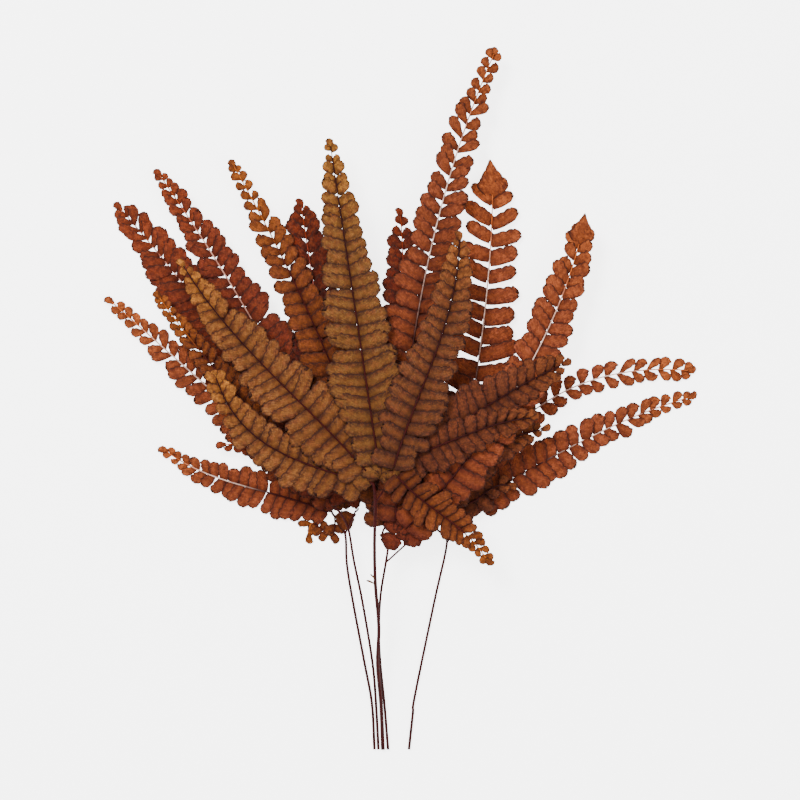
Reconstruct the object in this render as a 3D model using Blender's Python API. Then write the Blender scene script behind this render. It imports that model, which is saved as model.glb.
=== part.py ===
"""A loose bunch of cut fern fronds lying flat: forked wiry stipes and lobed pinna blades."""
import math

import bmesh
import bpy
from mathutils import Vector

MM = 0.001

# driving dimensions, in millimetres and degrees; +Y runs from the cut feet to the tips
ARM_RADIUS = 0.7
FOOT_Y = -168.0
RISE_LENGTH = 110.0      # a stipe climbs from the surface to its layer within this distance
ARM_SPREAD = 35.0        # each arm joins its ring this far round from the fork
JOINT_GAP = 0.3
BLADE_THICKNESS = 0.5
LAYER_AT_HUB = 2.0       # spacing of neighbouring layers at the hub
LAYER_AT_RIM = 1.3       # and at the outermost tips
RIM_REACH = 260.0
LAYERS_PER_BAND = 4
SWELL_END = 0.14         # share of a pinna over which it widens from its stalk
TAPER_START = 0.28       # share from its arm at which it starts to narrow
LOBE_PITCH = 9.0
LOBE_DEPTH = 0.24
STALK_WIDTH = 1.6
TIP_WIDTH = 4.0
TUBE_SIDES = 8

# Each frond: band of layers, ring centre and radius, fork, stipe radius, stipe route from foot to fork, and
# its pinnae as (direction and reach from the hub, sideways bow, width, taper power, layer in the band).
FRONDS = {
    "left": dict(band=0, ring=(-23, -22), radius=8, fork=(-22.5, -38), thick=0.9, colour="rust",
                 route=[(-4.8, FOOT_Y), (-6.4, -140), (-11, -115), (-18, -78), (-21.5, -56)],
                 pinnae=[(219, 57, 3, 16, 0.5, 0), (175, 130, 6, 28, 0.5, 1),
                         (148, 192, 0, 36, 0.6, 2), (135, 224, -4, 48, 0.4, 0)]),
    "right": dict(band=0, ring=(39, -30), radius=8, fork=(39, -43), thick=0.9, colour="rust",
                  route=[(16, FOOT_Y), (18.4, -146), (19.5, -136), (31.5, -78)],
                  pinnae=[(-6, 75, 3, 26, 0.7, 3), (13.5, 190, 6, 30, 0.5, 0),
                          (18, 193, 30, 22, 0.3, 1), (71, 199, -8, 50, 0.28, 2)]),
    "inner_left": dict(band=1, ring=(-21, -18), radius=8, fork=(-20.5, -34), thick=0.9, colour="rust",
                       route=[(-2.4, FOOT_Y), (-3.9, -140), (-6, -115), (-12, -78), (-17, -54)],
                       pinnae=[(170, 95, -6, 26, 0.6, 0), (142, 169, 5, 26, 0.5, 1),
                               (127, 222, -5, 40, 0.5, 2), (107, 166, 0, 44, 0.4, 3)]),
    "centre": dict(band=2, ring=(8, -38), radius=8, fork=(2.2, -54), thick=0.9, colour="rust",
                   route=[(3.4, FOOT_Y), (1.2, -140), (-1.2, -115), (-2, -96), (-1, -74)],
                   pinnae=[(116, 203, -6, 40, 0.6, 0), (86, 153, -4, 42, 0.5, 1),
                           (75, 258, 14, 42, 0.5, 2), (52, 196, -18, 36, 0.35, 3), (15, 98, 8, 34, 0.5, 0)]),
    "front": dict(band=3, ring=(-1, -2), radius=7, fork=(-4, -18), thick=1.3, colour="olive",
                  route=[(0.3, FOOT_Y), (-0.8, -140), (-2.8, -115), (-2, -92), (-4, -66), (-4.5, -42)],
                  pinnae=[(150, 112, 20, 34, 0.5, 0), (134, 170, 6, 44, 0.6, 1), (99, 196, 0, 44, 0.55, 2),
                          (71.5, 145, -8, 38, 0.45, 3), (30, 125, 4, 42, 0.45, 0), (19, 93, 6, 32, 0.5, 1),
                          (-41, 79, 6, 28, 0.6, 2)]),
}

COLOURS = {"stipe": (0.055, 0.014, 0.012), "rust": (0.36, 0.10, 0.03), "olive": (0.29, 0.16, 0.045)}


def material(name, kind):
    """One Principled material: glossy for the wiry stipes, dull for the leaf blades."""
    mat = bpy.data.materials.new(name)
    mat.use_nodes = True
    shader = mat.node_tree.nodes["Principled BSDF"]
    shader.inputs["Base Color"].default_value = (*COLOURS[kind], 1.0)
    shader.inputs["Roughness"].default_value = 0.35 if kind == "stipe" else 0.75
    shader.inputs["Metallic"].default_value = 0.0
    return mat


def add_object(name, bm, kind):
    """Turn a bmesh in millimetres into a named object in metres."""
    bmesh.ops.scale(bm, vec=Vector((MM, MM, MM)), verts=bm.verts)
    bmesh.ops.recalc_face_normals(bm, faces=bm.faces)
    mesh = bpy.data.meshes.new(name)
    bm.to_mesh(mesh)
    bm.free()
    mesh.materials.append(material(name, kind))
    obj = bpy.data.objects.new(name, mesh)
    bpy.context.collection.objects.link(obj)
    return obj


def layer_height(x, y, layer):
    """Underside of a layer; spacing shrinks outward, so layers never meet."""
    reach = min(math.hypot(x, y) / RIM_REACH, 1.0)
    return layer * (LAYER_AT_HUB + (LAYER_AT_RIM - LAYER_AT_HUB) * reach)


def smoothstep(t):
    t = min(max(t, 0.0), 1.0)
    return t * t * (3.0 - 2.0 * t)


def smooth_path(points, steps=5):
    """Catmull-Rom curve through the points."""
    ends = [2 * points[0] - points[1]] + points + [2 * points[-1] - points[-2]]
    path = []
    for a, b, c, d in zip(ends, ends[1:], ends[2:], ends[3:]):
        for i in range(steps):
            t = i / steps
            path.append(0.5 * (2 * b + (c - a) * t + (2 * a - 5 * b + 4 * c - d) * t ** 2
                               + (3 * b - a - 3 * c + d) * t ** 3))
    return path + [points[-1]]


def tube(path, radius_start, radius_end):
    """Closed round tube along a nearly level path."""
    bm = bmesh.new()
    rings = []
    for i, point in enumerate(path):
        tangent = (path[min(i + 1, len(path) - 1)] - path[max(i - 1, 0)]).normalized()
        side = tangent.cross(Vector((0, 0, 1))).normalized()
        up = side.cross(tangent)
        radius = radius_start + (radius_end - radius_start) * i / (len(path) - 1)
        angles = [2 * math.pi * (k + 0.5) / TUBE_SIDES for k in range(TUBE_SIDES)]
        rings.append([bm.verts.new(point + radius * (math.cos(a) * side + math.sin(a) * up))
                      for a in angles])
    for ring, following in zip(rings, rings[1:]):
        for k in range(TUBE_SIDES):
            n = (k + 1) % TUBE_SIDES
            bm.faces.new((ring[k], ring[n], following[n], following[k]))
    bm.faces.new(rings[0])
    bm.faces.new(rings[-1][::-1])
    return bm


def pinna_direction(frond, direction, reach):
    """Angle at the frond's ring centre that points at the pinna's tip."""
    tip = Vector((reach * math.cos(math.radians(direction)), reach * math.sin(math.radians(direction))))
    toward = tip - Vector(frond["ring"])
    return math.degrees(math.atan2(toward.y, toward.x)), tip


def arm_points(frond, last_angle, height):
    """Points round the ring, from beside the fork to the direction of the arm's last pinna."""
    start = -90.0 + math.copysign(ARM_SPREAD, last_angle + 90.0)
    count = max(3, int(abs(last_angle - start) / 20.0) + 1)
    centre = Vector((*frond["ring"], height))
    points = []
    for i in range(count + 1):
        a = math.radians(start + (last_angle - start) * i / count)
        points.append(centre + frond["radius"] * Vector((math.cos(a), math.sin(a), 0)))
    return points


def build_stipe(name, frond):
    """Stipe and first arm as one tube, second arm joined on, so the stem is one body."""
    height = layer_height(0, 0, frond["band"] * LAYERS_PER_BAND) + frond["thick"]
    fork = Vector((*frond["fork"], height))
    route = []
    for x, y in frond["route"]:
        climb = smoothstep((y - FOOT_Y) / RISE_LENGTH)
        route.append(Vector((x, y, frond["thick"] + (height - frond["thick"]) * climb)))
    angles = [pinna_direction(frond, row[0], row[1])[0] for row in frond["pinnae"]]
    left = [a - 360.0 if a > 95.0 else a for a in angles if a > 95.0 or a < -90.0]
    right = [a for a in angles if -90.0 <= a <= 95.0]
    left_end = min(left, default=-150.0)
    right_end = max(right, default=-30.0)
    stem = smooth_path(route + [fork] + arm_points(frond, left_end, height))
    stipe = add_object("stipe_" + name, tube(stem, frond["thick"], ARM_RADIUS * 0.85), "stipe")
    branch = smooth_path([fork] + arm_points(frond, right_end, height))
    arm = add_object("helper_arm_" + name, tube(branch, ARM_RADIUS * 0.85, ARM_RADIUS * 0.7), "stipe")
    arm.hide_render = True
    arm.display_type = "WIRE"
    join = stipe.modifiers.new("second_arm", "BOOLEAN")
    join.operation = "UNION"
    join.solver = "EXACT"
    join.object = arm
    for face in stipe.data.polygons:
        face.use_smooth = True


def blade_width(t, width, power, lobe):
    """Narrow stalk, widest low down, steady taper to the tip, scalloped by the leaflets."""
    swell = min(t / SWELL_END, 1.0) ** 0.8
    taper = min((1.0 - t) / (1.0 - TAPER_START), 1.0) ** power
    body = width * swell * taper * (1.0 - LOBE_DEPTH * lobe)
    return max(body, STALK_WIDTH if t < 0.5 else TIP_WIDTH)


def build_pinna(name, number, frond, row):
    """Thin closed blade that bows from its arm to its tip within one layer."""
    direction, reach, bow, width, power, sublayer = row
    angle, tip = pinna_direction(frond, direction, reach)
    outward = Vector((math.cos(math.radians(angle)), math.sin(math.radians(angle))))
    root = Vector(frond["ring"]) + outward * (frond["radius"] + ARM_RADIUS + JOINT_GAP)
    across = Vector((-outward.y, outward.x))
    control = (root + tip) / 2 + across * bow * 2
    layer = frond["band"] * LAYERS_PER_BAND + sublayer
    stations = 2 * round((tip - root).length / LOBE_PITCH)
    bm = bmesh.new()
    rows = []
    for i in range(stations + 1):
        t = i / stations
        point = root * (1 - t) ** 2 + control * 2 * t * (1 - t) + tip * t ** 2
        along = ((control - root) * (1 - t) + (tip - control) * t).normalized()
        half = blade_width(t, width, power, 1.0 if i % 2 == 0 else 0.0) / 2
        normal = Vector((-along.y, along.x))
        edges = (point + normal * half, point - normal * half)
        low = [bm.verts.new((e.x, e.y, layer_height(e.x, e.y, layer))) for e in edges]
        top = [bm.verts.new((v.co.x, v.co.y, v.co.z + BLADE_THICKNESS)) for v in low]
        rows.append((low[0], low[1], top[1], top[0]))
    for here, following in zip(rows, rows[1:]):
        for k in range(4):
            n = (k + 1) % 4
            bm.faces.new((here[k], here[n], following[n], following[k]))
    bm.faces.new(rows[0])
    bm.faces.new(rows[-1][::-1])
    add_object("pinna_{}_{}".format(name, number), bm, frond["colour"])


def centre_on_origin():
    """Move everything so the origin is under the middle of the bounding box."""
    bpy.context.view_layer.update()
    solid = [o for o in bpy.data.objects if not o.hide_render]
    corners = [v.co for o in solid for v in o.data.vertices]
    low = [min(c[i] for c in corners) for i in range(3)]
    high = [max(c[i] for c in corners) for i in range(3)]
    shift = Vector((-(low[0] + high[0]) / 2, -(low[1] + high[1]) / 2, -low[2]))
    for obj in bpy.data.objects:
        for vertex in obj.data.vertices:
            vertex.co += shift


def main():
    for obj in list(bpy.data.objects):
        bpy.data.objects.remove(obj, do_unlink=True)
    for name, frond in FRONDS.items():
        build_stipe(name, frond)
        for number, row in enumerate(frond["pinnae"], 1):
            build_pinna(name, number, frond, row)
    centre_on_origin()


main()
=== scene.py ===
import math
import random

import bpy
import numpy as np
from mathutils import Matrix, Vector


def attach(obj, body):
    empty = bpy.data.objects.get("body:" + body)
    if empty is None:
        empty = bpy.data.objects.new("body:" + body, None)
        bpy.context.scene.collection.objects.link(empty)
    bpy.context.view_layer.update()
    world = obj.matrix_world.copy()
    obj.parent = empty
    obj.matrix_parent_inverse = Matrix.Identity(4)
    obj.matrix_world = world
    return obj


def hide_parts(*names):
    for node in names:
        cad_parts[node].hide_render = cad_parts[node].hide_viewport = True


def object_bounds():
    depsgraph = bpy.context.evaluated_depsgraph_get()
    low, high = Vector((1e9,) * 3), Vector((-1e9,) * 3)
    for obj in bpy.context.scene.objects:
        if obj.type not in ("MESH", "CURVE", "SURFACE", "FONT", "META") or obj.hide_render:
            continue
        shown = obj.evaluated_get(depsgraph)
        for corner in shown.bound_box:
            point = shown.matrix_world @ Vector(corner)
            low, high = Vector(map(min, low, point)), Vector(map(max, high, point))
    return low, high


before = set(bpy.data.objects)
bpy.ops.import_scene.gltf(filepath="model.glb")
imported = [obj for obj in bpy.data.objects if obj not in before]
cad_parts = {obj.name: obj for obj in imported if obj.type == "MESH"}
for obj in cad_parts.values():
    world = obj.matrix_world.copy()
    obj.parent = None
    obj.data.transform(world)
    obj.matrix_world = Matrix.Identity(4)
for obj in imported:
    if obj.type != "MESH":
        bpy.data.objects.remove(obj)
size_at_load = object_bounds()

# A loose bunch of cut fern fronds lying flat. The leaflets of each pinna are grown along the middle line of
# its CAD blade. Below, t is the share of the way from a pinna's arm, 0, to its tip, 1; u runs along a leaflet
# from its stalk and v across it; a leaflet's wedge runs from 0, oblong, to 1, a narrow-based fan.

MM = 0.001
UP = np.array((0.0, 0.0, 1.0))
SEED = 20
CROWN_SEED = SEED + 100

# a leaflet's outline, as shares of its length or width
LEAFLET_STEPS = 24          # samples along a leaflet
LEAFLET_ROWS = 8            # samples across it
STEP_CROWDING = 1.4         # samples lie closer together towards the outer end
STALK = 0.02                # bare stalk
OPENING = 0.16              # the length in which an oblong leaflet reaches its full width
WEDGE_OPENING = 0.62        # and how much longer that is on a full wedge
WEDGE_NARROWING = 0.78      # how much narrower a full wedge starts
OPENING_POWER = 0.9         # higher: it widens more slowly at first
WEDGE_POWER = 0.3           # and how much higher that is on a full wedge
ROUNDING = 0.82             # where the outer end starts to round off
WEDGE_ROUNDING = 0.04       # and how much sooner on a full wedge
ROUND_END = 1.002           # a little over the whole length, so that the end keeps some width
SCALLOPS = 4.0              # rounded teeth on the edge that faces the tip
SCALLOP_DEPTH = 0.20
END_TEETH = 3.0             # and on the outer end
END_TOOTH_DEPTH = 0.13
TOOTH_POWER = 0.55          # under 1: broad crests and narrow notches
SIDE_SPLIT = (0.62, 0.38)   # width above and below a side leaflet's middle line
EVEN_SPLIT = (0.5, 0.5)
EDGE_MARGIN = 0.03          # least width on each side
ARROW_BARB = 0.3            # where an arrow is widest
ARROW_POINT = 0.7           # length of its pointed part
ARROW_POWER = 0.6           # under 1: its barb is rounded
END_TOOTH_POWER = 5         # higher: the end's teeth die out sooner towards the stalk

# a leaflet's bends out of flat: each as a share of its length or width
LEAF_THICKNESS = 0.2 * MM
SWEEP = (0.04, 0.10)        # curve towards the pinna's tip, least and most
WEDGE_SWEEP = 0.14          # and how much more it may be on a full wedge
SHINGLE_TILT = 0.08         # rise across a leaflet, so that each lies over the one below
TILT_RANGE = (0.7, 1.3)
SLOPE = 0.04                # most rise or fall along it
ARCH = 0.03                 # rise at its middle
DROOP = 0.03                # fall at its outer end
FOLD = 0.022                # waves that grow towards the scalloped edge
CRUMPLE = 0.02              # waves all over it
CRUMPLE_WAVES = (9.0, 7.0)  # radians along and across
PHASES = (0, 6)             # radians
FLOOR_CLEARANCE = 0.15 * MM
FLOOR_SCATTER = (0.0, 0.25)     # mm more, so that leaflets on the floor are not all level

# how leaflets are set on a pinna
PITCH_FALL = 0.20           # how much closer they are at the tip
MIN_PITCH = 3.8 * MM
PITCH_RANGE = (0.92, 1.08)
FIRST_LEAFLET = 1.5         # mm from the arm
END_GAP = 2.0               # mm left free before the last leaflet
HEADING_STEP = 3 * MM       # the rib's heading is read this far to each side
LOOSE_START = 0.75          # where oblong leaflets start to stand apart from each other
LOOSE_WEDGE = 0.4           # how much sooner full wedges do
LOOSE_RUN = 0.35            # from there to where they are fully apart
LEAN = 84.0                 # degrees between a leaflet and the rib
TIP_LEAN = 10.0             # degrees less at the tip
LOOSE_LEAN = 20.0           # degrees less where they stand apart
LEAN_SPREAD = 10            # random degrees either way
ARM_REACH = 0.75            # reach next to the arm, as a share of the blade's half width
ARM_RUN = 0.3               # t by which that no longer counts
TIP_REACH = 6.4             # least reach of a leaflet out from the rib, in mm
LONG_TIP_REACH = {"pinna_right_3": 9.0, "pinna_centre_3": 8.6, "pinna_right_2": 7.4, "pinna_left_4": 7.4}
SHRINK = 0.35               # how much of that is lost at the very tip
SHRINK_START = 0.80
SHRINK_RUN = 0.20
LENGTH_RANGE = (0.84, 1.08)
WIDTH_RANGE = (1.0, 1.22)
WIDEST = 0.80               # most width over length
SLIP_RANGE = (0.02, 0.16)   # the two leaflets of a pair are set off along the rib, as shares of the pitch
ARM_WEDGE = 0.35            # share of its wedge that a leaflet has at t = 0
WEDGE_GAIN = 0.7
LOOSE_WEDGE_GAIN = 0.45
MOST_WEDGE = 0.95
LAST_LEAFLET = (6.6 * MM, 4.6 * MM)     # length and width of the one at a pinna's end
LAST_WEDGE = 0.85
LAST_TUCK = 0.2             # it starts this share of two line steps before the end

RIB_SIDES = 7
RIB_RADII = (0.55 * MM, 0.34 * MM)      # at the arm and at the tip
RIB_LIFT = 0.75 * MM        # above the blade's middle line
RIB_TOLERANCE = 0.01        # mm, so that a rib with no arrow keeps its line's last point

# how a blade's middle line is read off its CAD node
LINE_SAMPLES = 60
BIN_LENGTH = 12.0 * MM
LEAST_BINS = 4
LEAST_POINTS = 4            # a bin with fewer of the node's points is left out
END_WIDTH = 0.8             # half width past the last bin, over that bin's

# camera: straight down, the whole object in a square picture with a narrow white margin
LENS = 100.0
SENSOR = 36.0
LONG_SIDE_SHARE = 0.875
AIM_RISE = 2.0 * MM         # the camera aims a little past the middle, as leaflets stick out at the tips

FLOOR_SIZE = 16.0           # metres
FLOOR_WHITE = 0.97
FLOOR_GLOW = 3.6
WORLD_LIGHT = 1.2

# per lamp: name, place in metres, power and size
LAMPS = (
    ("key", (-0.7, 0.9, 1.5), 46.0, 0.7),
    ("fill", (0.9, -0.6, 1.4), 14.0, 1.2),
)

# leaf colours, linear: shaded part, main part, tip of the pinna, rib
PALETTES = {
    "olive": ((0.024, 0.0052, 0.0018), (0.104, 0.045, 0.0180), (0.44, 0.168, 0.022), (0.024, 0.003, 0.003)),
    "straw": ((0.026, 0.0050, 0.0018), (0.138, 0.053, 0.0215), (0.49, 0.168, 0.022), (0.024, 0.003, 0.003)),
    "moss": ((0.018, 0.0032, 0.0015), (0.078, 0.028, 0.0152), (0.35, 0.106, 0.019), (0.024, 0.003, 0.003)),
    "amber": ((0.026, 0.0036, 0.0010), (0.140, 0.032, 0.0085), (0.36, 0.090, 0.009), (0.050, 0.005, 0.004)),
    "rust": ((0.026, 0.0022, 0.0010), (0.145, 0.021, 0.0095), (0.28, 0.047, 0.010), (0.55, 0.27, 0.20)),
    "copper": ((0.033, 0.0032, 0.0013), (0.200, 0.042, 0.0165), (0.35, 0.078, 0.014), (0.68, 0.45, 0.36)),
    "ginger": ((0.042, 0.0045, 0.0018), (0.262, 0.055, 0.0215), (0.45, 0.102, 0.019), (0.68, 0.45, 0.36)),
    "umber": ((0.018, 0.0023, 0.0011), (0.098, 0.023, 0.0104), (0.22, 0.058, 0.012), (0.024, 0.003, 0.003)),
    "maroon": ((0.011, 0.0009, 0.0008), (0.054, 0.0038, 0.0022), (0.18, 0.022, 0.003), (0.22, 0.050, 0.040)),
}

DARK_RIB = (0.036, 0.0034, 0.0029)
DARK_RIBBED = ("olive", "straw", "moss", "umber")       # palettes whose ribs stay dark up to the tip
PATCH_COLOUR = (0.150, 0.032, 0.0100)
RIM_COLOUR = (0.024, 0.006, 0.004)
STREAK_TINT = (0.55, 0.45, 0.45)

# per pinna: palette, leaflet pitch in mm, how much of the pitch a leaflet fills, wedge
STYLES = {
    "pinna_front_1": ("straw", 7.0, 1.12, 0.25),
    "pinna_front_2": ("straw", 7.2, 1.14, 0.25),
    "pinna_front_3": ("olive", 7.6, 1.14, 0.25),
    "pinna_front_4": ("moss", 7.0, 1.12, 0.25),
    "pinna_front_5": ("umber", 6.8, 1.12, 0.40),
    "pinna_front_6": ("umber", 6.2, 1.12, 0.45),
    "pinna_front_7": ("amber", 5.6, 1.02, 0.55),
    "pinna_left_1": ("amber", 4.5, 1.10, 0.45),
    "pinna_left_2": ("ginger", 6.5, 1.05, 0.45),
    "pinna_left_3": ("ginger", 7.6, 0.96, 0.62),
    "pinna_left_4": ("rust", 7.0, 1.30, 0.50),
    "pinna_inner_left_1": ("rust", 7.0, 1.00, 0.50),
    "pinna_inner_left_2": ("amber", 6.0, 0.98, 0.65),
    "pinna_inner_left_3": ("rust", 7.0, 1.15, 0.55),
    "pinna_inner_left_4": ("maroon", 8.5, 1.18, 0.40),
    "pinna_centre_1": ("amber", 8.0, 1.05, 0.55),
    "pinna_centre_2": ("maroon", 8.0, 1.08, 0.40),
    "pinna_centre_3": ("copper", 8.5, 1.00, 0.60),
    "pinna_centre_4": ("ginger", 8.0, 1.12, 0.40),
    "pinna_centre_5": ("umber", 7.0, 1.05, 0.45),
    "pinna_right_1": ("umber", 7.5, 1.05, 0.45),
    "pinna_right_2": ("ginger", 7.8, 1.04, 0.65),
    "pinna_right_3": ("ginger", 9.0, 0.83, 0.85),
    "pinna_right_4": ("ginger", 11.5, 0.80, 0.20),
}

# pinnae whose last leaflets are fused into one pointed blade, and its length in mm
ARROW_TIPS = {"pinna_centre_4": 20.0, "pinna_right_4": 24.0}
ARROW_SLOPE = 0.45          # half width that the leaflets gain for each step back from an arrow's point
LEAST_HALF_WIDTH = 1.0 * MM
ARROW_WIDTH = 0.80          # over its length
ARROW_LIFT = 0.6 * MM
ARROW_OVERLAP = 0.7         # the leaflets stop this share of an arrow's length before its point
ARROW_RIB = 0.9             # and the rib stops this share of it before
ARROW_T = 0.9

BARE_STALKS = {"pinna_left_1": 7.0}     # mm of rib with no leaflets, next to the arm

RING_DEPTH = 15.0 * MM      # how far down a stipe its ring of arms reaches
CROWN_TIERS = 2
CROWN_WEDGE = 0.75
CROWN_T = 0.2
CROWN_TURN = 9              # random degrees either way
CROWN_START = 0.3           # mm from the ring's middle to the inner tier's leaflets
TIER_STEP = 5.0             # mm from one tier to the next
CROWN_LIFT = 1.4            # mm above the ring
TIER_DROP = 0.8             # and how much lower the outer tier is
CROWN_START_RANGE = (0.8, 1.2)
CROWN_LENGTH_RANGE = (0.8, 1.15)
CROWN_WIDTH_RANGE = (0.75, 0.95)
FORK_T = 0.3

# per stipe: palette, leaflets in a tier of its crown, the arc they fill in degrees, and their length in mm
CROWNS = {
    "stipe_left": ("amber", 4, 60, 190, 8.0),
    "stipe_inner_left": ("rust", 6, 0, 200, 9.0),
    "stipe_centre": ("rust", 6, 0, 130, 9.0),
    "stipe_right": ("rust", 7, -20, 210, 11.0),
    "stipe_front": ("olive", 9, -30, 210, 11.0),
}

# single leaflets by the forks: place from the ring's middle in mm, direction, length, width over length
FORK_LEAFLETS = {
    "stipe_left": [(1.8, -13.0, 96.0, 12.0, 0.95)],
    "stipe_centre": [(-3.0, -9.5, 80.0, 10.5, 1.22), (4.5, -4.0, 8.0, 12.5, 0.85)],
    "stipe_front": [(-3.2, -64.0, 150.0, 5.5, 0.22), (-3.2, -61.0, 128.0, 4.0, 0.25)],
}


class Paint:
    """A new material, with short names for the nodes that it is built from."""

    def __init__(self, name):
        self.material = bpy.data.materials.new(name)
        self.material.use_nodes = True
        self.nodes = self.material.node_tree.nodes
        self.links = self.material.node_tree.links
        self.inputs = self.nodes["Principled BSDF"].inputs

    def attribute(self, name):
        node = self.nodes.new("ShaderNodeAttribute")
        node.attribute_name = name
        return node.outputs["Fac"]

    def noise(self, scale, detail=3.0):
        node = self.nodes.new("ShaderNodeTexNoise")
        coords = self.nodes.new("ShaderNodeTexCoord")
        node.inputs["Scale"].default_value = scale
        node.inputs["Detail"].default_value = detail
        self.links.new(coords.outputs["Object"], node.inputs["Vector"])
        return node.outputs["Fac"]

    def mix(self, fac, a, b, kind="MIX"):
        """Mix two colours; each value is a socket, a number or RGB."""
        node = self.nodes.new("ShaderNodeMix")
        node.data_type = "RGBA"
        node.blend_type = kind
        for socket, value in ((node.inputs["Factor"], fac), (node.inputs["A"], a), (node.inputs["B"], b)):
            if isinstance(value, tuple):
                socket.default_value = (*value, 1.0)
            elif isinstance(value, float):
                socket.default_value = value
            else:
                self.links.new(value, socket)
        return node.outputs["Result"]

    def maths(self, kind, a, b=0.0):
        node = self.nodes.new("ShaderNodeMath")
        node.operation = kind
        for socket, value in ((node.inputs[0], a), (node.inputs[1], b)):
            if isinstance(value, float):
                socket.default_value = value
            else:
                self.links.new(value, socket)
        return node.outputs[0]

    def ramp(self, value, low, high):
        """0 below low and 1 above high."""
        node = self.nodes.new("ShaderNodeMapRange")
        node.interpolation_type = "SMOOTHSTEP"
        node.inputs["From Min"].default_value = low
        node.inputs["From Max"].default_value = high
        self.links.new(value, node.inputs["Value"])
        return node.outputs["Result"]

    def fall(self, value, low, high):
        """1 below low and 0 above high."""
        return self.maths("SUBTRACT", 1.0, self.ramp(value, low, high))

    def cover(self, colour, mask, strength, over):
        """Lay a second colour over the first one, where the mask says and at a strength."""
        return self.mix(self.maths("MULTIPLY", mask, strength), colour, over)

    def roughness(self, value, low, high):
        node = self.nodes.new("ShaderNodeMapRange")
        node.inputs["To Min"].default_value = low
        node.inputs["To Max"].default_value = high
        self.links.new(value, node.inputs["Value"])
        self.links.new(node.outputs["Result"], self.inputs["Roughness"])

    def bump(self, height, strength, distance):
        node = self.nodes.new("ShaderNodeBump")
        node.inputs["Strength"].default_value = strength
        node.inputs["Distance"].default_value = distance
        self.links.new(height, node.inputs["Height"])
        self.links.new(node.outputs["Normal"], self.inputs["Normal"])


def leaf_material(palette):
    """Dry leaf: mottled colour, fan of veins, dark rolled rim, felted bump, painted shade near the hub and on
    the edge under the next leaflet, and a painted highlight along each leaflet's middle.
    """
    shade, main, tip, _ = PALETTES[palette]
    paint = Paint("leaf_" + palette)
    length = paint.attribute("leaf_u")
    across = paint.attribute("leaf_v")
    along = paint.attribute("pinna_t")
    fine = paint.ramp(paint.noise(1800.0, 6.0), 0.35, 0.65)
    mottle = paint.ramp(paint.noise(430.0, 5.0), 0.42, 0.60)
    colour = paint.mix(paint.ramp(along, 0.62, 1.0), main, tip)
    colour = paint.cover(colour, paint.fall(paint.noise(160.0), 0.35, 0.65), 0.45, shade)
    colour = paint.cover(colour, paint.attribute("leaf_random"), 0.40, shade)
    colour = paint.cover(colour, fine, 0.30, tip)
    colour = paint.cover(colour, paint.ramp(paint.noise(330.0, 4.0), 0.46, 0.60), 0.50, PATCH_COLOUR)
    colour = paint.cover(colour, mottle, 0.58, shade)
    colour = paint.cover(colour, paint.ramp(paint.noise(950.0, 2.0), 0.50, 0.62), 0.42, shade)
    # painted shade darkens the pinnae near the hub, and each leaflet is darker near the rib
    hub_shadow = 0.35 if palette in DARK_RIBBED else 0.58
    colour = paint.cover(colour, paint.fall(along, 0.05, 0.45), hub_shadow, shade)
    colour = paint.cover(colour, paint.fall(length, 0.0, 0.42), 0.55, shade)
    # veins fan out from the stalk, so they are lines of constant across/length
    spread = paint.maths("DIVIDE", paint.maths("ADD", across, 0.2), paint.maths("ADD", length, 0.25))
    wave = paint.maths("SINE", paint.maths("MULTIPLY", spread, 30.0))
    veins = paint.ramp(wave, 0.55, 1.0)
    colour = paint.cover(colour, veins, 0.40, shade)
    rim = paint.maths("MAXIMUM", paint.ramp(across, 0.84, 0.98), paint.ramp(length, 0.88, 0.98))
    colour = paint.cover(colour, rim, 0.85, RIM_COLOUR)
    # painted highlight: a lighter band along the middle of each leaflet
    centre = paint.maths("MULTIPLY", paint.ramp(across, 0.20, 0.50), paint.fall(across, 0.55, 0.85))
    colour = paint.cover(colour, centre, 0.12, tip)
    # painted shade on the edge that the next leaflet covers
    painted_seam_shade = paint.maths("MULTIPLY", paint.fall(across, 0.0, 0.20), paint.maths("ADD", 0.35, mottle))
    colour = paint.cover(colour, painted_seam_shade, 0.6, shade)
    paint.links.new(colour, paint.inputs["Base Color"])
    paint.inputs["Specular IOR Level"].default_value = 0.12
    paint.roughness(fine, 0.55, 0.85)
    paint.bump(paint.maths("ADD", fine, paint.maths("MULTIPLY", veins, 0.8)), 0.55, 0.35 * MM)
    return paint.material


def rib_material(name, colour, foot, end, roughness):
    """Wiry stem or rib: foot colour near the hub, then its own colour, then end colour at the tip."""
    paint = Paint(name)
    along = paint.attribute("pinna_t")
    streak = paint.ramp(paint.noise(420.0, 4.0), 0.30, 0.70)
    colour = paint.mix(paint.ramp(along, 0.35, 0.70), foot, colour)
    colour = paint.mix(paint.ramp(along, 0.70, 0.92), colour, end)
    dark = paint.mix(1.0, colour, STREAK_TINT, "MULTIPLY")
    paint.links.new(paint.mix(streak, dark, colour), paint.inputs["Base Color"])
    paint.inputs["Specular IOR Level"].default_value = 0.08
    paint.roughness(streak, roughness, roughness + 0.2)
    paint.bump(paint.noise(2500.0), 0.25, 0.1 * MM)
    return paint.material


def node_points(name):
    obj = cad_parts[name]
    return np.array([obj.matrix_world @ v.co for v in obj.data.vertices])


def stem_of(name):
    return "stipe_" + name[len("pinna_"):].rsplit("_", 1)[0]


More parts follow.
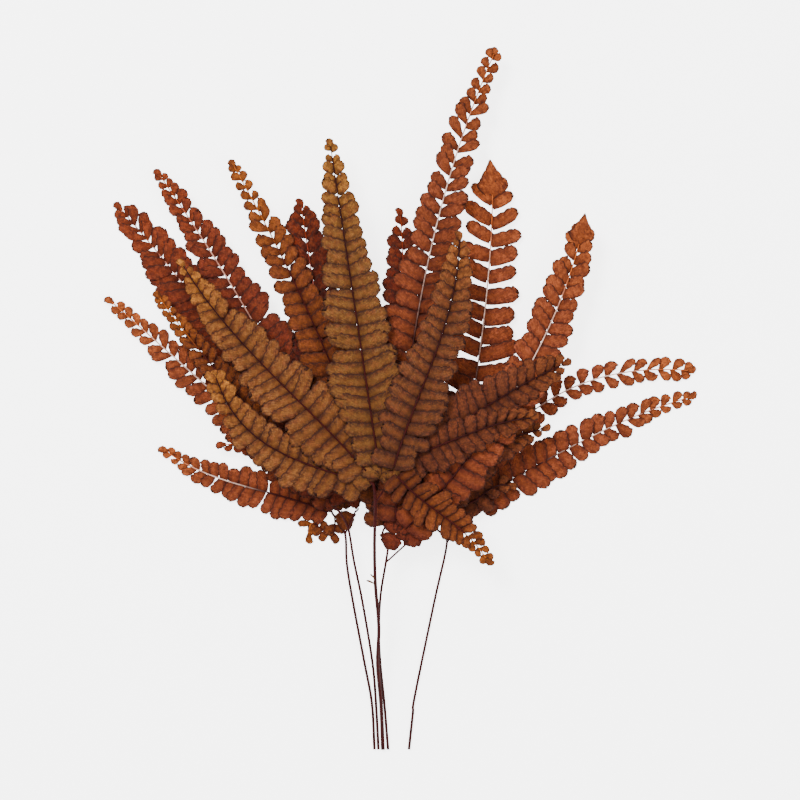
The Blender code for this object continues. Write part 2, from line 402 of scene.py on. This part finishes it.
def midline(name):
    """Middle line and half width of a pinna blade, from its arm to its tip, read off the CAD node."""
    points = node_points(name)
    flat = points[:, :2]
    centre = flat.mean(axis=0)
    axis = np.linalg.svd(flat - centre, full_matrices=False)[2][0]
    reach = (flat - centre) @ axis
    stem = node_points(stem_of(name))[:, :2]
    ends = [flat[reach.argmin()], flat[reach.argmax()]]
    gaps = [np.linalg.norm(stem - end, axis=1).min() for end in ends]
    if gaps[1] < gaps[0]:
        axis = -axis
        reach = -reach
    side = np.array((-axis[1], axis[0]))
    offset = (flat - centre) @ side
    count = max(LEAST_BINS, int(np.ptp(reach) / BIN_LENGTH))
    # the last edge is a hair further out, so that the outermost point falls in the last bin
    edges = np.linspace(reach.min(), reach.max() + 1e-9, count + 1)
    where, middle, half = [], [], []
    for low, high in zip(edges, edges[1:]):
        inside = (reach >= low) & (reach < high)
        if inside.sum() < LEAST_POINTS:
            continue
        where.append(reach[inside].mean())
        middle.append((offset[inside].max() + offset[inside].min()) / 2)
        half.append(np.ptp(offset[inside]) / 2)
    grid = np.linspace(reach.min(), reach.max(), LINE_SAMPLES)
    curve = np.polynomial.Polynomial.fit(where, middle, min(3, len(where) - 1))(grid)
    widths = np.interp(grid, where, half)
    widths[grid > where[-1]] = half[-1] * END_WIDTH
    line = centre + grid[:, None] * axis + curve[:, None] * side
    height = [points[np.abs(flat - p).sum(axis=1).argmin(), 2] for p in line]
    smooth = np.polynomial.Polynomial.fit(grid, height, 2)(grid)
    return np.column_stack([line, smooth]), widths


def level_vector(direction):
    """Unit vector along the floor, at an angle in radians."""
    return np.array((math.cos(direction), math.sin(direction), 0.0))


def point_on(line, distance, place):
    """The point at a place along a line, where distance holds how far along each of its points is."""
    return np.array([np.interp(place, distance, line[:, k]) for k in range(3)])


def teeth(x, count, depth):
    """Rounded teeth: 1 on each crest and less in the notches between them."""
    return 1.0 - depth * (1.0 - np.abs(np.sin(math.pi * count * x)) ** TOOTH_POWER)


def leaflet_grid(wedge, kind):
    """Unit leaflet: u along it, v across it, and each sample's place outward and sideways.

    A side leaflet has a nearly straight lower edge, and its upper edge and outer end are scalloped.
    A round one is even on both sides, and an arrow one comes to a point."""
    u = 1.0 - (1.0 - np.linspace(0.0, 1.0, LEAFLET_STEPS + 1)) ** STEP_CROWDING
    v = np.linspace(0.0, 1.0, LEAFLET_ROWS + 1)
    opening = np.clip((u - STALK) / (OPENING + WEDGE_OPENING * wedge), 0.0, 1.0)
    base = 1.0 - WEDGE_NARROWING * wedge
    power = OPENING_POWER + WEDGE_POWER * wedge
    wide = base + (1.0 - base) * np.sin(0.5 * math.pi * opening) ** power
    rounding = ROUNDING - WEDGE_ROUNDING * wedge
    past = np.clip(u - rounding, 0.0, 1.0) / (ROUND_END - rounding)
    end = np.sqrt(np.clip(1.0 - past ** 2, 0.0, 1.0))
    top, bottom = SIDE_SPLIT if kind == "side" else EVEN_SPLIT
    # the scallops get deeper away from the stalk
    notched = teeth(u, SCALLOPS - wedge, SCALLOP_DEPTH * np.clip(3.0 * u - 0.4, 0.3, 1.0))
    if kind == "arrow":
        wide = np.clip(u / ARROW_BARB, 0.0, 1.0) ** ARROW_POWER
        end = np.clip((1.0 - u) / ARROW_POINT, 0.0, 1.0)
    upper = top * wide * end * notched + EDGE_MARGIN
    lower = -bottom * wide * end * (1.0 if kind == "side" else notched) - EDGE_MARGIN
    y = lower[:, None] + (upper - lower)[:, None] * v
    u = np.repeat(u[:, None], LEAFLET_ROWS + 1, 1)
    v = np.repeat(v[None, :], LEAFLET_STEPS + 1, 0)
    x = u * (1.0 - (1.0 - teeth(v, END_TEETH, END_TOOTH_DEPTH)) * u ** END_TOOTH_POWER)
    return u, v, x, y


def make_piece(name, points, faces, smooth, attributes, material, nodes=()):
    """A mesh that rides on the object, with its paint, slot and the nodes it stands for."""
    mesh = bpy.data.meshes.new(name)
    mesh.from_pydata(points.tolist(), [], faces)
    for key, values in attributes.items():
        layer = mesh.attributes.new(key, "FLOAT", "POINT")
        layer.data.foreach_set("value", values.astype(np.float32))
    mesh.polygons.foreach_set("use_smooth", smooth)
    mesh.materials.append(material)
    obj = bpy.data.objects.new(name, mesh)
    bpy.context.scene.collection.objects.link(obj)
    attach(obj, "root")
    if nodes:
        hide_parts(*nodes)


class LeafMesh:
    """Gathers thin two-sided leaflets into one mesh with the attributes that the paint reads."""

    def __init__(self):
        self.points, self.faces, self.smooth = [], [], []
        self.data = {"leaf_u": [], "leaf_v": [], "leaf_random": [], "pinna_t": []}
        self.count = 0

    def add(self, root, direction, length, width, mirror, wedge, t, rng, kind="side"):
        u, v, x, y = leaflet_grid(wedge, kind)
        top = self.upper_face(root, direction, length, width, mirror, wedge, rng, (u, v, x, y))
        under = top - LEAF_THICKNESS * UP
        rows, cols = u.shape
        grid = np.arange(rows * cols).reshape(rows, cols)
        quads = np.stack([grid[:-1, :-1], grid[1:, :-1], grid[1:, 1:], grid[:-1, 1:]], -1).reshape(-1, 4)
        border = np.concatenate([grid[:, 0], grid[-1, 1:], grid[-2::-1, -1], grid[0, -2:0:-1]])
        if mirror:
            quads = quads[:, ::-1]
            border = border[::-1]
        following = np.roll(border, -1)
        size = rows * cols
        rims = np.stack([border, border + size, following + size, following], -1)
        self.points += [top.reshape(-1, 3), under.reshape(-1, 3)]
        self.faces += [quads + self.count, quads[:, ::-1] + self.count + size, rims + self.count]
        self.smooth += [True] * (2 * len(quads)) + [False] * len(rims)
        own = rng.random()
        for name, values in (("leaf_u", u), ("leaf_v", v), ("leaf_random", np.full(u.shape, own)),
                             ("pinna_t", np.full(u.shape, t))):
            self.data[name] += [values.ravel(), values.ravel()]
        self.count += 2 * size

    @staticmethod
    def upper_face(root, direction, length, width, mirror, wedge, rng, samples):
        """Points of the upper face: swept, tilted, arched and crumpled, and never under the floor."""
        u, v, x, y = samples
        out = level_vector(direction)
        side = np.array((-out[1], out[0], 0.0)) * (-1.0 if mirror else 1.0)
        sweep = rng.uniform(SWEEP[0], SWEEP[1] + WEDGE_SWEEP * wedge) * length * u ** 2
        lift = SHINGLE_TILT * y * width * rng.uniform(*TILT_RANGE)
        bend = length * (rng.uniform(-SLOPE, SLOPE) * u + ARCH * np.sin(math.pi * u) - DROOP * u ** 3)
        fold = FOLD * width * np.sin(2 * math.pi * SCALLOPS * u + rng.uniform(*PHASES)) * v
        waves_along = np.sin(CRUMPLE_WAVES[0] * u + rng.uniform(*PHASES))
        waves_across = np.sin(CRUMPLE_WAVES[1] * v + rng.uniform(*PHASES))
        z = lift + bend + fold + CRUMPLE * width * waves_along * waves_across
        top = (root + out * (x * length)[..., None] + side * (y * width + sweep)[..., None]
               + UP * z[..., None])
        lowest = size_at_load[0][2] + LEAF_THICKNESS + FLOOR_CLEARANCE
        top[..., 2] += max(lowest + rng.uniform(*FLOOR_SCATTER) * MM - top[..., 2].min(), 0.0)
        return top

    def finish(self, name, material, nodes=()):
        attributes = {key: np.concatenate(values) for key, values in self.data.items()}
        make_piece(name, np.concatenate(self.points), np.concatenate(self.faces).tolist(), self.smooth,
                   attributes, material, nodes)


def rib_geometry(line):
    """Points and faces of a closed round tube along a nearly level line."""
    tangent = np.gradient(line, axis=0)
    tangent /= np.linalg.norm(tangent, axis=1)[:, None]
    side = np.cross(tangent, UP)
    side /= np.linalg.norm(side, axis=1)[:, None]
    up = np.cross(side, tangent)
    radius = np.linspace(*RIB_RADII, len(line))[:, None]
    rings = [line + radius * (math.cos(a) * side + math.sin(a) * up)
             for a in np.linspace(0, 2 * math.pi, RIB_SIDES, endpoint=False)]
    points = np.stack(rings, 1).reshape(-1, 3)
    grid = np.arange(len(points)).reshape(len(line), RIB_SIDES)
    turned = np.roll(grid, -1, axis=1)
    faces = np.stack([grid[:-1], turned[:-1], turned[1:], grid[1:]], -1).reshape(-1, 4)
    first, last = len(points), len(points) + 1
    caps = [(first, b, a) for a, b in zip(grid[0].tolist(), turned[0].tolist())]
    caps += [(last, a, b) for a, b in zip(grid[-1].tolist(), turned[-1].tolist())]
    return np.concatenate([points, line[:1], line[-1:]]), faces.tolist() + caps


def make_rib(name, line, material):
    points, faces = rib_geometry(line)
    share = np.append(np.repeat(np.linspace(0.0, 1.0, len(line)), RIB_SIDES), (0.0, 1.0))
    make_piece(name, points, faces, [True] * len(faces), {"pinna_t": share}, material)


def add_pairs(mesh, name, style, line, half, distance, rng):
    """Paired leaflets along a pinna's middle line, smaller and looser towards its tip."""
    _, pitch, fill, wedge = style
    total = distance[-1]
    place = BARE_STALKS.get(name, FIRST_LEAFLET) * MM
    stop = total - max(END_GAP, ARROW_OVERLAP * ARROW_TIPS.get(name, 0.0)) * MM
    while place < stop:
        t = place / total
        loose = min(max((t - LOOSE_START + LOOSE_WEDGE * wedge) / LOOSE_RUN, 0.0), 1.0)
        spacing = max(pitch * MM * (1.0 - PITCH_FALL * t ** 3), MIN_PITCH)
        shrink = 1.0 - SHRINK * max((t - SHRINK_START) / SHRINK_RUN, 0.0)
        root = point_on(line, distance, place)
        ahead = point_on(line, distance, min(place + HEADING_STEP, total))
        behind = point_on(line, distance, max(place - HEADING_STEP, 0.0))
        heading = math.atan2(ahead[1] - behind[1], ahead[0] - behind[0])
        near_arm = 0.0 if name in BARE_STALKS else ARM_REACH * half.max() * max(1.0 - t / ARM_RUN, 0.0)
        least = LONG_TIP_REACH.get(name, TIP_REACH) * MM * shrink
        reach = max(np.interp(place, distance, half), near_arm, least)
        if name in ARROW_TIPS:
            reach = min(reach, ARROW_SLOPE * (total - place) + LEAST_HALF_WIDTH)
        shape = min(wedge * (ARM_WEDGE + WEDGE_GAIN * t) + LOOSE_WEDGE_GAIN * loose, MOST_WEDGE)
        for sign in (1, -1):
            lean = LEAN - TIP_LEAN * t - LOOSE_LEAN * loose + rng.uniform(-LEAN_SPREAD, LEAN_SPREAD)
            lean = math.radians(lean)
            length = reach / math.sin(lean) * rng.uniform(*LENGTH_RANGE)
            width = min(spacing * fill * math.sin(lean) * rng.uniform(*WIDTH_RANGE), length * WIDEST)
            slip = sign * rng.uniform(*SLIP_RANGE) * spacing
            start = root + level_vector(heading) * slip
            mesh.add(start, heading + sign * lean, length, width, sign > 0, shape, t, rng)
        place += spacing * rng.uniform(*PITCH_RANGE)


def add_end(mesh, name, line, rng):
    """The last leaflet of a pinna: a small fan, or a long arrow of fused leaflets."""
    along = line[-1] - line[-3]
    heading = math.atan2(along[1], along[0])
    if name in ARROW_TIPS:
        size = ARROW_TIPS[name] * MM
        root = line[-1] - size * level_vector(heading) + ARROW_LIFT * UP
        mesh.add(root, heading, size, ARROW_WIDTH * size, False, 0.0, ARROW_T, rng, "arrow")
    else:
        mesh.add(line[-1] - along * LAST_TUCK, heading, *LAST_LEAFLET, False, LAST_WEDGE, 1.0, rng, "round")


def grow_pinna(name, style, leaf, rib, rng):
    """Leaflets that stand for a pinna's blade, and the rib that carries them."""
    line, half = midline(name)
    steps = np.linalg.norm(np.diff(line, axis=0), axis=1)
    distance = np.concatenate([[0.0], np.cumsum(steps)])
    mesh = LeafMesh()
    add_pairs(mesh, name, style, line, half, distance, rng)
    add_end(mesh, name, line, rng)
    own_name = name[len("pinna_"):]
    mesh.finish("leaflets_" + own_name, leaf, (name,))
    rib_end = distance[-1] - (ARROW_RIB * ARROW_TIPS.get(name, 0.0) - RIB_TOLERANCE) * MM
    make_rib("rib_" + own_name, line[distance <= rib_end] + RIB_LIFT * UP, rib)


def ring_of(stem):
    """Middle and height of the arms' ring at the top of a stipe."""
    points = node_points(stem)
    top = points[points[:, 1] > points[:, 1].max() - RING_DEPTH]
    return (top.min(axis=0) + top.max(axis=0)) / 2


def grow_crown(stem, leaf, rng):
    """Short rounded basal leaflets that crowd round the fork, in two tiers, and single ones below it."""
    _, count, first, last, size = CROWNS[stem]
    middle = ring_of(stem)
    mesh = LeafMesh()
    for tier in range(CROWN_TIERS):
        for i in range(count):
            turn = first + (last - first) * (i + 0.5 * tier) / count + rng.uniform(-CROWN_TURN, CROWN_TURN)
            turn = math.radians(turn)
            out = level_vector(turn) * (CROWN_START + TIER_STEP * tier) * MM
            root = middle + out * rng.uniform(*CROWN_START_RANGE)
            root[2] += (CROWN_LIFT - TIER_DROP * tier) * MM
            length = size * MM * rng.uniform(*CROWN_LENGTH_RANGE)
            width = length * rng.uniform(*CROWN_WIDTH_RANGE)
            mesh.add(root, turn, length, width, i % 2 == 0, CROWN_WEDGE, CROWN_T, rng, "round")
    for x, y, turn, size, share in FORK_LEAFLETS.get(stem, ()):
        root = middle + np.array((x, y, 1.0)) * MM
        length = size * MM
        width = share * length
        mesh.add(root, math.radians(turn), length, width, False, CROWN_WEDGE, FORK_T, rng, "round")
    mesh.finish("crown_" + stem[len("stipe_"):], leaf)


def build_floor(height):
    """Plain pale floor, which glows enough to read as a white ground."""
    bpy.ops.mesh.primitive_plane_add(size=FLOOR_SIZE, location=(0, 0, height))
    floor = bpy.context.object
    floor.name = "floor"
    paint = Paint("floor_white")
    paint.inputs["Base Color"].default_value = (FLOOR_WHITE, FLOOR_WHITE, FLOOR_WHITE, 1.0)
    paint.inputs["Roughness"].default_value = 0.9
    paint.inputs["Emission Color"].default_value = (1.0, 1.0, 1.0, 1.0)
    paint.inputs["Emission Strength"].default_value = FLOOR_GLOW
    floor.data.materials.append(paint.material)
    return floor


def build_lights(target):
    """White surroundings, and two large soft lamps that face the floor's middle."""
    world = bpy.data.worlds.new("studio")
    world.use_nodes = True
    background = world.node_tree.nodes["Background"].inputs
    background["Color"].default_value = (1.0, 1.0, 1.0, 1.0)
    background["Strength"].default_value = WORLD_LIGHT
    bpy.context.scene.world = world
    for name, place, energy, size in LAMPS:
        light = bpy.data.lights.new(name, "AREA")
        light.energy = energy
        light.size = size
        lamp = bpy.data.objects.new(name, light)
        lamp.location = place
        lamp.rotation_euler = (lamp.location - target).to_track_quat("Z", "Y").to_euler()
        bpy.context.scene.collection.objects.link(lamp)


def build_camera(low, high):
    """Camera that looks straight down, close to the middle of the object's box."""
    camera = bpy.data.cameras.new("camera")
    camera.lens = LENS
    camera.sensor_width = SENSOR
    obj = bpy.data.objects.new("camera", camera)
    middle = (low + high) / 2
    span = (high[1] - low[1]) / LONG_SIDE_SHARE
    obj.location = (middle[0], middle[1] + AIM_RISE, middle[2] + span * LENS / SENSOR)
    bpy.context.scene.collection.objects.link(obj)
    bpy.context.scene.camera = obj


def main():
    low, high = (np.array(corner) for corner in size_at_load)
    floor = build_floor(low[2])
    build_lights(floor.location)
    build_camera(low, high)
    leaves = {name: leaf_material(name) for name in PALETTES}
    ribs = {}
    for name, (_, _, tip, rib) in PALETTES.items():
        end = rib if name in DARK_RIBBED else tip
        ribs[name] = rib_material("rib_" + name, rib, DARK_RIB, end, 0.5)
    for index, (name, style) in enumerate(STYLES.items()):
        grow_pinna(name, style, leaves[style[0]], ribs[style[0]], random.Random(SEED + index))
    for index, (stem, crown) in enumerate(CROWNS.items()):
        grow_crown(stem, leaves[crown[0]], random.Random(CROWN_SEED + index))
    wiry = rib_material("stem_wiry", DARK_RIB, DARK_RIB, DARK_RIB, 0.35)
    for name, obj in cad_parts.items():
        if name.startswith("stipe_"):
            obj.data.materials.clear()
            obj.data.materials.append(wiry)


main()
